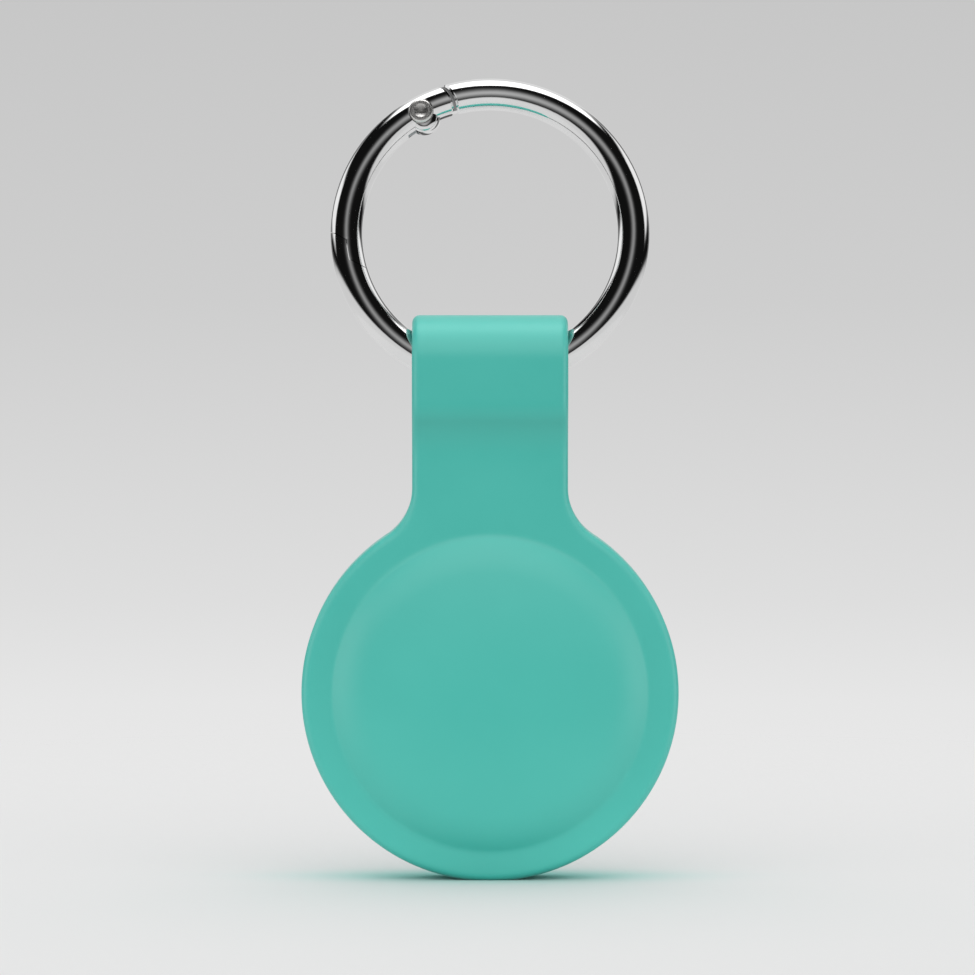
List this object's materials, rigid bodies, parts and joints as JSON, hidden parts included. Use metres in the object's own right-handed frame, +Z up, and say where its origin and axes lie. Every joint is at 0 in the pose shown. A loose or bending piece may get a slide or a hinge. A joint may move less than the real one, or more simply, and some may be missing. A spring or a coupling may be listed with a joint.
{
  "type": "tracker tag holder",
  "caption": "Round silicone holder for a coin-shaped tracker tag, with a moulded strap loop that carries a swinging spring-gate ring for keys or a bag strap.",
  "frame": {"origin": "middle of the small standing flat at the bottom of the round body, on the holder's middle plane", "axes": "+Z up along the strap, +X to the viewer's right from the front, -Y out of the raised front face, +Y out of the back window"},
  "size_m": [0.04, 0.0153, 0.085],
  "materials": {
    "silicone": "matte",
    "ring_metal": "polished",
    "rivet_metal": "polished",
    "spring_steel": "satin",
    "shell_plastic": "gloss",
    "cover_steel": "polished",
    "tray_plastic": "matte",
    "contact_metal": "satin",
    "board_laminate": "satin",
    "chip_resin": "matte",
    "magnet_metal": "satin",
    "coil_copper": "satin",
    "seal_rubber": "matte",
    "cell_steel": "satin",
    "gasket_plastic": "matte",
    "cell_filling": "matte"
  },
  "bodies": {
    "holder": {"silicone_holder": "silicone"},
    "ring": {"ring_frame": "ring_metal"},
    "gate": {"ring_gate": "ring_metal", "hinge_rivet": "rivet_metal", "gate_spring": "spring_steel"},
    "plunger": {"spring_plunger": "spring_steel"},
    "tag": {"tag_shell": "shell_plastic", "cell_tray": "tray_plastic", "circuit_board": "board_laminate", "board_chips": "chip_resin", "speaker_coil": "coil_copper", "speaker_magnet": "magnet_metal", "cell_contacts": "contact_metal", "cell_can": "cell_steel", "cell_gasket": "gasket_plastic", "cell_cap": "cell_steel", "cell_core": "cell_filling", "cover_seal": "seal_rubber"},
    "cover": {"battery_cover": "cover_steel"}
  },
  "joints": [
    {"name": "ring_swing", "type": "hinge", "parent": "holder", "child": "ring", "pos_m": [0, 0, 0.055], "axis": [1, 0, 0], "range_deg": [-132, 162]},
    {"name": "gate_open", "type": "hinge", "parent": "ring", "child": "gate", "pos_m": [-0.00739, 0.00701, 0.08116], "axis": [0, -0.9659, 0.2588], "range_deg": [0, 30], "stiffness_Nm_per_rad": 0.0015, "springref_deg": -57.3},
    {"name": "plunger_slide", "type": "slide", "parent": "gate", "child": "plunger", "axis": [-0.8704, -0.1274, -0.4756], "range_m": [0, 0.000426], "deforming": ["gate_spring"]},
    {"name": "tag_turn", "type": "hinge", "parent": "holder", "child": "tag", "pos_m": [0, 0, 0.01985], "axis": [0, 1, 0], "continuous": true},
    {"name": "cover_twist", "type": "hinge", "parent": "tag", "child": "cover", "pos_m": [0, 0, 0.01985], "axis": [0, 1, 0], "range_deg": [0, 24]}
  ],
  "couplings": [
    {"joint": "plunger_slide", "follows": "gate_open", "m_per_rad": 0.00079471}
  ]
}
